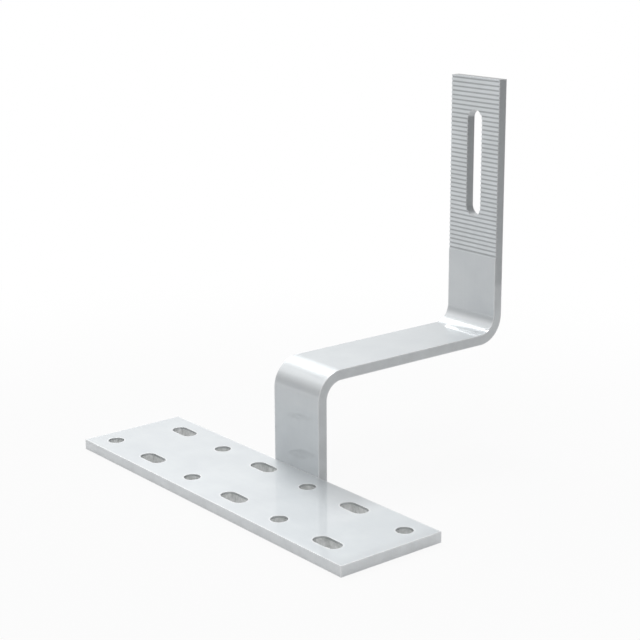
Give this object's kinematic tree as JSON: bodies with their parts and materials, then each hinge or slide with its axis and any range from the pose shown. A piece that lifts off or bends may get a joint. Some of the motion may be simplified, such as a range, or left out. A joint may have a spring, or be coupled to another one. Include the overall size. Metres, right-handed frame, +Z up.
{
  "type": "solar roof hook",
  "caption": "Solar roof hook: a flat drilled base plate with a twice-bent flat bar welded to its rear edge, toothed and slotted at the top for a rail bolt.",
  "frame": {"origin": "middle of the base plate's underside, which is the face that is screwed down", "axes": "+X along the plate, +Y across the plate from its free long edge towards the hook arm, +Z up, away from the roof"},
  "size_m": [0.18, 0.1565, 0.1635],
  "materials": {
    "plate_steel": "satin, tumbled stainless plate",
    "bar_steel": "satin, tumbled stainless bar",
    "weld_steel": "pickled weld metal, ground flush underneath"
  },
  "bodies": {
    "root": {"base_plate": "plate_steel", "hook_arm": "bar_steel", "foot_weld": "weld_steel"}
  },
  "joints": []
}
